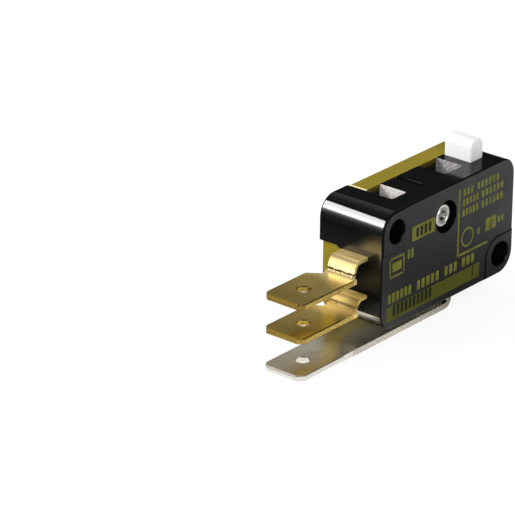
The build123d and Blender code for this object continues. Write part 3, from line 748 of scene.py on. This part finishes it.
# Terminals: two brass blades and a plated strip, stamped from rolled sheet and bent in a tool. The sheet
# carries fine streaks along the blade, the bends carry tool marks and a crumpled crease at the foot, and the
# cut edges are torn. The bends and the blade roots are painted pale as highlights; the crease line, the tip
# bevels and the far ends of the blades are painted darker as shade.
STREAK_SIZE = 5200.0
STREAK_STRETCH = 60.0
DRAW_STRETCH = (6500.0, 260.0, 6500.0)
TARNISH_SIZE = 330.0
TARNISH_SPREAD = (0.42, 0.70)
DARK_SPECK_SIZE = 2600.0
GRIT_SIZE = 4200.0


def rolled_group():
    """Rolled metal: streaks along X, slow tarnish, rare dark specks, grit and tool marks across a bend."""
    group, inlet, outlet = socket_group(
        "rolled_metal",
        [("Vector", "NodeSocketVector", None), ("Streak Size", "NodeSocketFloat", STREAK_SIZE)],
        ["Streak", "Tarnish", "Speck", "Grit", "Drawn"])
    vector = inlet.outputs["Vector"]
    apart = separated(group, vector)
    packed = group.nodes.new("ShaderNodeCombineXYZ")
    group.links.new(product(group, apart["X"], STREAK_STRETCH), packed.inputs["X"])
    for axis in ("Y", "Z"):
        group.links.new(product(group, apart[axis], inlet.outputs["Streak Size"]), packed.inputs[axis])
    across = group.nodes.new("ShaderNodeMapping")
    across.inputs["Scale"].default_value = DRAW_STRETCH
    group.links.new(vector, across.inputs["Vector"])
    streak = texture(group, "ShaderNodeTexNoise", packed.outputs[0], 1.0, Detail=4.0)
    cloud = texture(group, "ShaderNodeTexNoise", vector, TARNISH_SIZE, Detail=5.0)
    speck = texture(group, "ShaderNodeTexNoise", vector, DARK_SPECK_SIZE, Detail=2.0)
    grit = texture(group, "ShaderNodeTexNoise", vector, GRIT_SIZE, Detail=2.0)
    drawn = texture(group, "ShaderNodeTexNoise", across.outputs[0], 1.0, Detail=3.0)
    for label, noise in (("Streak", streak), ("Grit", grit), ("Drawn", drawn)):
        group.links.new(noise.outputs["Fac"], outlet.inputs[label])
    group.links.new(ranged(group, cloud.outputs["Fac"], *TARNISH_SPREAD), outlet.inputs["Tarnish"])
    group.links.new(ranged(group, speck.outputs["Fac"], *RARE_PEAKS), outlet.inputs["Speck"])
    return group


ROLLED_METAL = rolled_group()
DARK_SPECK_MOST = 0.5
DARK_SPECK_SHADE = 0.35


def shade(colour, share):
    """The same colour, darker or paler by a share."""
    return tuple(part * share for part in colour)


def rolled_metal(name, colour, dark, roughness):
    """Streaked, slightly tarnished metal; returns what a piece's own marks are added to."""
    material, tree, shader, place = plain_material(name)
    node = tree.nodes.new("ShaderNodeGroup")
    node.node_tree = ROLLED_METAL
    node.inputs["Streak Size"].default_value = STREAK_SIZE
    tree.links.new(place.outputs["Object"], node.inputs["Vector"])
    rolled = node.outputs
    tone = blended(tree, rolled["Tarnish"], colour, dark)
    tone = blended(tree, product(tree, rolled["Speck"], DARK_SPECK_MOST), tone, shade(dark, DARK_SPECK_SHADE))
    rough = ranged(tree, rolled["Streak"], *WIDE_SPREAD, *roughness)
    shader.inputs["Metallic"].default_value = 1.0
    tree.links.new(tone, shader.inputs["Base Color"])
    tree.links.new(rough, shader.inputs["Roughness"])
    bumped(tree, shader, rolled["Streak"], strength=0.015, distance=FINE_BUMP)
    return material, tree, shader, place, rolled, tone, rough


# Where a mark of stamping or of painted light begins and where it is in full, in millimetres: lengths from
# the case end, which are negative along the blades, and heights over the case bottom. The darker far end of
# the blade is painted shade, and the pale root a painted highlight.
END_SHADE_SPAN = (-6.5, -12.0)
ROOT_HIGHLIGHT_SPAN = (-6.2, -3.6)
CREASE_FOOT = (-3.5, -3.3)
FLAT_BLADE = (-3.3, -3.5)
BEND_FOOT = (-3.3, -2.9)
TOOLED_BEND = (-3.1, -2.4)
BRASS_HEIGHT = (1.0, 2.0)
UPPER_HEIGHT = (5.4, 6.4)
LOWER_SHARE = 0.1
# How far a face looks up where a mark begins and where it is in full.
SLOPED = (0.97, 0.90)
CUT_SIDE = (0.92, 0.80)
ROUNDED = ((0.975, 0.90), (0.25, 0.50))
LEVEL_TOP = (0.90, 0.97)
TIP_OUTWARD, TIP_UPWARD = (-0.3, -0.5), (0.3, 0.5)
# Tones of the marks, where the crease tone and the tip tone are painted shade, and the spread of the noise
# that mixes or draws them.
CREASE_SHADE = (0.050, 0.030, 0.006)
RUBBED_EDGE = ((0.50, 0.47, 0.39), (0.78, 0.74, 0.63))
TIP_SHADE, TOOL_SHADE = 0.15, 0.45
RUBBED_GRIT, TORN_GRIT = (0.38, 0.62), (0.34, 0.66)
TOOL_LINES = (0.48, 0.62)
# How strong a mark is at most, in its tone, in how matt it makes the metal and in added roughness; the tones
# at the blade root and on the bends are painted highlights.
ROOT_HIGHLIGHT_MOST, ROOT_HIGHLIGHT_LOST_TO_TOOL = 0.90, 0.45
TOOL_MOST = 0.75
BEND_HIGHLIGHT_MOST = 0.35
TOP_MATT, BEND_MATT = 0.36, 0.40
ROOT_MATT = (0.60, 0.32)
MATT_SPECULAR = 0.3
TOOL_ROUGHNESS, TORN_ROUGHNESS, CREASE_ROUGHNESS = 0.20, 0.12, 0.4
CREASE_WIDTH = 0.20 * MM
CREASE_WANDER = 0.09 * MM
CREASE_HEIGHTS = (8.29, 3.67)
LOWER_CREASE = 0.6


def unsigned(tree, value):
    """Size of a value without its sign."""
    return worked(tree, "ABSOLUTE", value, 0.0)


def crease_shade_mask(tree, apart, level, upper, grit):
    """Mask of the crumpled crease at the foot of each bend, painted as a dark line of shade, fainter on the
    lower strip.
    """
    foot = product(tree, ranged(tree, level, *SLOPED), rising(tree, apart, "X", *CREASE_FOOT))
    wander = ranged(tree, grit, *USUAL_SPREAD, -CREASE_WANDER, CREASE_WANDER)
    height = worked(tree, "ADD", apart["Z"], wander)
    crease_shade = 0.0
    for crease in CREASE_HEIGHTS:
        off = unsigned(tree, worked(tree, "SUBTRACT", height, spot(0.0, 0.0, crease).z))
        crease_shade = greatest(tree, ranged(tree, off, CREASE_WIDTH, CREASE_WIDTH * 0.5), crease_shade)
    return product(tree, crease_shade, foot, ranged(tree, upper, LOWER_SHARE, 1.0, to_low=LOWER_CREASE))


def stamped_strip(name, colour, dark, roughness, highlight_tone, lower_highlight_tone, torn, blade_end_shade):
    """Rolled metal with the marks of stamping and with painted light: two tones are painted highlights, one
    on an upper bend and one on a lower bend in shade, torn gives the two tones of a cut edge, and a share
    gives how much of the dark tone is painted as shade at the far end of the blade."""
    material, tree, shader, place, rolled, tone, rough = rolled_metal(name, colour, dark, roughness)
    apart = separated(tree, place.outputs["Object"])
    facing = separated(tree, place.outputs["Normal"])
    level = unsigned(tree, facing["Z"])
    bent = rising(tree, apart, "Z", *BRASS_HEIGHT)
    upper = rising(tree, apart, "Z", *UPPER_HEIGHT, low=LOWER_SHARE)
    # Near the blade root the metal is painted paler as a highlight.
    root_lit = product(tree, bent, rising(tree, apart, "X", *ROOT_HIGHLIGHT_SPAN))
    tooled = product(tree, bent, rising(tree, apart, "X", *TOOLED_BEND))
    side = ranged(tree, level, *CUT_SIDE)
    sheared = product(tree, rising(tree, apart, "X", *FLAT_BLADE), side)
    rubbed = product(tree, worked(tree, "SUBTRACT", side, sheared), worked(tree, "SUBTRACT", 1.0, bent))
    # The bevel at the tips is painted dark, a painted reflection of dark surroundings.
    dark_tip_bevel = product(tree, ranged(tree, facing["X"], *TIP_OUTWARD), ranged(tree, facing["Z"], *TIP_UPWARD))
    flat_top = product(tree, tooled, upper, ranged(tree, facing["Z"], *LEVEL_TOP, to_high=TOP_MATT))
    # The rounded bends are painted paler as a highlight.
    bend = product(tree, bent, rising(tree, apart, "X", *BEND_FOOT),
                   *(ranged(tree, facing["Z"], *turn) for turn in ROUNDED))
    # The crumpled crease at the bend foot is real; its dark line is painted shade.
    crease_shade = crease_shade_mask(tree, apart, level, upper, rolled["Grit"])

    # The painted highlight is paler on the upper strip and more golden on the lower one, which lies in shade.
    painted_highlight = blended(tree, upper, lower_highlight_tone, highlight_tone)
    lost = product(tree, tooled, ROOT_HIGHLIGHT_LOST_TO_TOOL)
    root_highlight = product(tree, root_lit, worked(tree, "SUBTRACT", ROOT_HIGHLIGHT_MOST, lost))
    drawn = product(tree, tooled, ranged(tree, rolled["Drawn"], *TOOL_LINES, to_high=TOOL_MOST))
    rubbed_tone = blended(tree, ranged(tree, rolled["Grit"], *RUBBED_GRIT), *RUBBED_EDGE)
    torn_tone = blended(tree, ranged(tree, rolled["Grit"], *TORN_GRIT), *torn)
    # Towards the far end of the blade the metal is painted darker as shade.
    end_shade_mask = rising(tree, apart, "X", *END_SHADE_SPAN)
    for mask, laid in ((end_shade_mask, shade(dark, blade_end_shade)), (root_highlight, painted_highlight), (rubbed, rubbed_tone),
                       (sheared, torn_tone), (dark_tip_bevel, shade(torn[0], TIP_SHADE)),
                       (product(tree, bend, BEND_HIGHLIGHT_MOST), painted_highlight), (drawn, shade(dark, TOOL_SHADE)),
                       (crease_shade, CREASE_SHADE)):
        tone = blended(tree, mask, tone, laid)
    tree.links.new(tone, shader.inputs["Base Color"])

    matt_root = product(tree, root_lit, ranged(tree, upper, LOWER_SHARE, 1.0, *ROOT_MATT))
    matt = greatest(tree, crease_shade, flat_top, product(tree, bend, upper, BEND_MATT), matt_root)
    tree.links.new(worked(tree, "SUBTRACT", 1.0, matt), shader.inputs["Metallic"])
    shader.inputs["Specular IOR Level"].default_value = MATT_SPECULAR
    rough = worked(tree, "ADD", rough, product(tree, tooled, TOOL_ROUGHNESS),
                   product(tree, sheared, TORN_ROUGHNESS), product(tree, crease_shade, CREASE_ROUGHNESS))
    tree.links.new(rough, shader.inputs["Roughness"])
    return material


BRASS = stamped_strip("brass_strip", (0.90, 0.66, 0.20), (0.82, 0.59, 0.14), roughness=(0.23, 0.27),
                      highlight_tone=(1.0, 0.81, 0.43), lower_highlight_tone=(1.0, 0.70, 0.24),
                      torn=((0.42, 0.27, 0.040), (0.82, 0.61, 0.17)), blade_end_shade=0.64)
dressed("closed_terminal", "case", [BRASS])
dressed("open_terminal", "case", [BRASS])
PLATED = stamped_strip("plated_strip", (0.93, 0.87, 0.70), (0.66, 0.58, 0.41), roughness=(0.27, 0.32),
                       highlight_tone=(0.88, 0.80, 0.62), lower_highlight_tone=(0.88, 0.80, 0.62),
                       torn=((0.92, 0.88, 0.78), (0.96, 0.94, 0.88)), blade_end_shade=1.10)
dressed("common_terminal", "case", [PLATED])

# Snap mechanism, closed up inside the case: silver contacts riveted to the strips and the arm, a bronze
# arm and a steel lever on the two sides of the common terminal's leg, and the spring drawn between them.
# Each row is the finish, its bright and tarnished tones, its roughness, and the pieces with their bodies.
MECHANISM = (
    ("contact_silver", (0.86, 0.85, 0.82), (0.70, 0.68, 0.62), (0.28, 0.42),
     (("closed_contact", "case"), ("open_contact", "case"), ("moving_contact", "arm"))),
    ("spring_bronze", (0.80, 0.50, 0.28), (0.66, 0.40, 0.22), (0.24, 0.38), (("contact_arm", "arm"),)),
    ("lever_steel", (0.60, 0.60, 0.60), (0.48, 0.48, 0.48), (0.24, 0.38), (("actuating_lever", "lever"),)),
    ("spring_steel", (0.55, 0.55, 0.56), (0.42, 0.42, 0.43), (0.22, 0.34), (("tension_spring", "spring"),)),
)
for finish, colour, dark, roughness, pieces in MECHANISM:
    metal = rolled_metal(finish, colour, dark, roughness)[0]
    for node, body in pieces:
        dressed(node, body, [metal])

# Plunger: push pin moulded in white nylon, slightly translucent, with rounded edges. It slides in the
# guide in the top of the housing and is kept in by its flange.
NYLON_CLOUD = ((0.82, 0.83, 0.83), (0.88, 0.89, 0.90))
NYLON_ROUGHNESS = (0.30, 0.42)
NYLON_TRANSLUCENCE = 0.35
NYLON_GLOW = (1.0, 1.0, 0.9)
NYLON_DEPTH = 0.0006


def white_nylon():
    """White nylon with a little light inside it."""
    material, tree, shader, place = plain_material("white_nylon")
    grain = grained(tree, place, grain_size=5000.0, cloud_size=300.0)
    tree.links.new(blended(tree, grain["Cloud"], *NYLON_CLOUD), shader.inputs["Base Color"])
    shader.inputs["Subsurface Weight"].default_value = NYLON_TRANSLUCENCE
    shader.inputs["Subsurface Radius"].default_value = NYLON_GLOW
    shader.inputs["Subsurface Scale"].default_value = NYLON_DEPTH
    tree.links.new(ranged(tree, grain["Cloud"], *USUAL_SPREAD, *NYLON_ROUGHNESS), shader.inputs["Roughness"])
    bumped(tree, shader, grain["Height"], strength=0.15, distance=FINE_BUMP)
    return material


dressed("plunger", "push_pin", [white_nylon()])

# Cover: olive thermoset lid that fills the case between the bosses and is held by the rivet. Its cut
# corner by the terminals is painted pale as a highlight, and its inner wall behind the lever recesses is
# painted dark as shade.
OLIVE_CLOUD = ((0.225, 0.172, 0.011), (0.27, 0.208, 0.015))
OLIVE_SPECK = (0.32, 0.25, 0.05)
OLIVE_SCRATCH = (0.38, 0.31, 0.11)
OLIVE_EDGE_HIGHLIGHT = (0.80, 0.70, 0.38)
OLIVE_INNER_SHADE = (0.007, 0.0055, 0.001)
OLIVE_ROUGHNESS = (0.30, 0.40)
OLIVE_SPECULAR = 0.16
# Where the painted highlight on the corner and the painted shade on the inner wall begin and where they are
# in full, in millimetres as in spot, and how far the inner wall faces the printed side.
HIGHLIGHT_LENGTH = (5.80, 5.77)
HIGHLIGHT_HEIGHT = (15.80, 15.83)
INNER_HEIGHT = (15.85, 15.0)
INNER_AT_TOP = 0.6
INNER_FACING = (-0.7, -0.9)


def olive_moulding():
    """Olive thermoset, painted pale as a highlight on the cut corner and painted dark as shade on the inner
    wall.
    """
    material, tree, shader, place = plain_material("olive_moulding")
    grain = grained(tree, place, grain_size=6000.0, cloud_size=180.0)
    tone = blended(tree, grain["Cloud"], *OLIVE_CLOUD)
    tone = blended(tree, grain["Speck"], tone, OLIVE_SPECK)
    tone = blended(tree, grain["Scratch"], tone, OLIVE_SCRATCH)
    apart = separated(tree, place.outputs["Object"])
    # The cut corner is painted pale as a highlight.
    corner = product(tree, rising(tree, apart, "X", *HIGHLIGHT_LENGTH), rising(tree, apart, "Z", *HIGHLIGHT_HEIGHT))
    tone = blended(tree, corner, tone, OLIVE_EDGE_HIGHLIGHT)
    # The inner wall is painted dark as shade, more so further down.
    facing = separated(tree, place.outputs["Normal"])
    shade_deeper_down = rising(tree, apart, "Z", *INNER_HEIGHT, low=INNER_AT_TOP)
    inner_shade = product(tree, ranged(tree, facing["Y"], *INNER_FACING), shade_deeper_down)
    tree.links.new(blended(tree, inner_shade, tone, OLIVE_INNER_SHADE), shader.inputs["Base Color"])
    tree.links.new(ranged(tree, grain["Cloud"], *USUAL_SPREAD, *OLIVE_ROUGHNESS), shader.inputs["Roughness"])
    shader.inputs["Specular IOR Level"].default_value = OLIVE_SPECULAR
    bumped(tree, shader, grain["Height"], strength=0.25, distance=FINE_BUMP)
    return material


OLIVE = olive_moulding()
dressed("cover", "case", [OLIVE])

# Circuit sketch moulded on the cover as a low ridge: a change-over contact with its three terminal
# numbers, read from the cover side, so it runs towards the terminals.
RIDGE_RADIUS = 0.11
RIDGE_SIDES = 10
RIDGE_SINK = 0.02
COVER_DEPTH = 9.95
PIVOT_RADIUS = 0.8
PIVOT_STEPS = 28
PIVOTS = ((-7.15, 9.65), (-9.5, 6.5))
# Points of the straight lines, as (distance from the terminal end, height), the distance reversed.
SKETCH_LINES = [[(-7.7, 8.85), (-7.7, 7.1)], [(-7.05, 8.2), (-7.05, 7.0)],
                [(-8.7, 6.9), (-4.3, 7.4), (-4.3, 8.6)], [(-4.3, 5.1), (-4.3, 4.1)],
                [(-15.8, 2.1), (-9.5, 2.1), (-9.5, 5.65)],
                [(-4.3, 8.4), (-3.3, 8.4)], [(-4.3, 4.6), (-3.5, 4.6)]]


def arc(centre, radius, start, end, steps):
    """Points of an arc, angles in degrees from the reading direction."""
    turns = [math.radians(start + (end - start) * step / steps) for step in range(steps + 1)]
    return [(centre[0] + radius * math.cos(turn), centre[1] + radius * math.sin(turn)) for turn in turns]


# Strokes of the terminal numbers, one unit tall, and the near corner and height of each number.
DIGITS = {
    "1": [[(0.0, 0.70), (0.28, 1.0), (0.28, 0.0)]],
    "2": [arc((0.27, 0.72), 0.27, 165, -30, 10) + [(0.0, 0.0), (0.56, 0.0)]],
    "4": [[(0.42, 0.0), (0.42, 1.0), (0.0, 0.32), (0.60, 0.32)]],
}
NUMBERS = (("2", -2.75, 7.5, 1.9), ("4", -2.85, 3.6, 1.7), ("1", -17.1, 1.3, 1.7))


def sketch_strokes():
    """All strokes of the sketch."""
    strokes = [arc(pivot, PIVOT_RADIUS, 0, 360, PIVOT_STEPS) for pivot in PIVOTS] + SKETCH_LINES
    for digit, left, low, tall in NUMBERS:
        for stroke in DIGITS[digit]:
            strokes.append([(left + across * tall, low + up * tall) for across, up in stroke])
    return strokes


def ridge_tree(material):
    """Geometry Nodes tree that lays a round ridge along every curve."""
    tree = bpy.data.node_groups.new("moulded_ridge", "GeometryNodeTree")
    tree.interface.new_socket("Geometry", in_out="INPUT", socket_type="NodeSocketGeometry")
    radius = tree.interface.new_socket("Radius", in_out="INPUT", socket_type="NodeSocketFloat")
    tree.interface.new_socket("Geometry", in_out="OUTPUT", socket_type="NodeSocketGeometry")
    inlet = tree.nodes.new("NodeGroupInput")
    outlet = tree.nodes.new("NodeGroupOutput")
    profile = tree.nodes.new("GeometryNodeCurvePrimitiveCircle")
    profile.inputs["Resolution"].default_value = RIDGE_SIDES
    ridge = tree.nodes.new("GeometryNodeCurveToMesh")
    ridge.inputs["Fill Caps"].default_value = True
    solid = tree.nodes.new("GeometryNodeRealizeInstances")
    paint = tree.nodes.new("GeometryNodeSetMaterial")
    paint.inputs["Material"].default_value = material
    tree.links.new(inlet.outputs["Radius"], profile.inputs["Radius"])
    tree.links.new(inlet.outputs["Geometry"], ridge.inputs["Curve"])
    tree.links.new(profile.outputs["Curve"], ridge.inputs["Profile Curve"])
    tree.links.new(ridge.outputs["Mesh"], solid.inputs[0])
    tree.links.new(solid.outputs[0], paint.inputs["Geometry"])
    tree.links.new(paint.outputs[0], outlet.inputs["Geometry"])
    return tree, radius.identifier


def cover_sketch():
    """Ridges of the circuit sketch, half sunk in the cover."""
    curve = bpy.data.curves.new("sketch_lines", "CURVE")
    curve.dimensions = "3D"
    for stroke in sketch_strokes():
        line = curve.splines.new("POLY")
        line.points.add(len(stroke) - 1)
        for point, (across, height) in zip(line.points, stroke):
            point.co = (*spot(-across, COVER_DEPTH - RIDGE_SINK, height), 1.0)
    draft = bpy.data.objects.new("cover_sketch_draft", curve)
    scene.collection.objects.link(draft)
    tree, radius = ridge_tree(OLIVE)
    modifier = draft.modifiers.new("ridge", "NODES")
    modifier.node_group = tree
    modifier[radius] = RIDGE_RADIUS * MM
    piece = baked(draft, "cover_sketch", "case")
    piece.data.shade_smooth()


cover_sketch()

# Case rivet: nickel plated steel, headed over the cover and rolled into the recess of the printed face.
# The hollow in the middle of the rolled end is painted darker as shade.
HOLLOW_PLACE = spot(13.2, 0.7, 11.8)
HOLLOW_RADIUS = 0.95 * MM
HOLLOW_EDGE = (1.1, 0.9)
HOLLOW_SHADE = (0.30, 0.30, 0.28)


def rivet_nickel():
    """Nickel plate, painted darker as shade in the hollow of the rolled end."""
    material, tree, shader, place, _, tone, _ = rolled_metal(
        "rivet_metal", (0.86, 0.85, 0.82), (0.66, 0.64, 0.60), roughness=(0.24, 0.34))
    away = tree.nodes.new("ShaderNodeVectorMath")
    away.operation = "DISTANCE"
    away.inputs[1].default_value = HOLLOW_PLACE
    tree.links.new(place.outputs["Object"], away.inputs[0])
    # The hollow of the rolled end is painted darker as shade.
    hollow_shade = ranged(tree, away.outputs["Value"], *(HOLLOW_RADIUS * share for share in HOLLOW_EDGE))
    tree.links.new(blended(tree, hollow_shade, tone, HOLLOW_SHADE), shader.inputs["Base Color"])
    return material


dressed("case_rivet", "case", [rivet_nickel()])
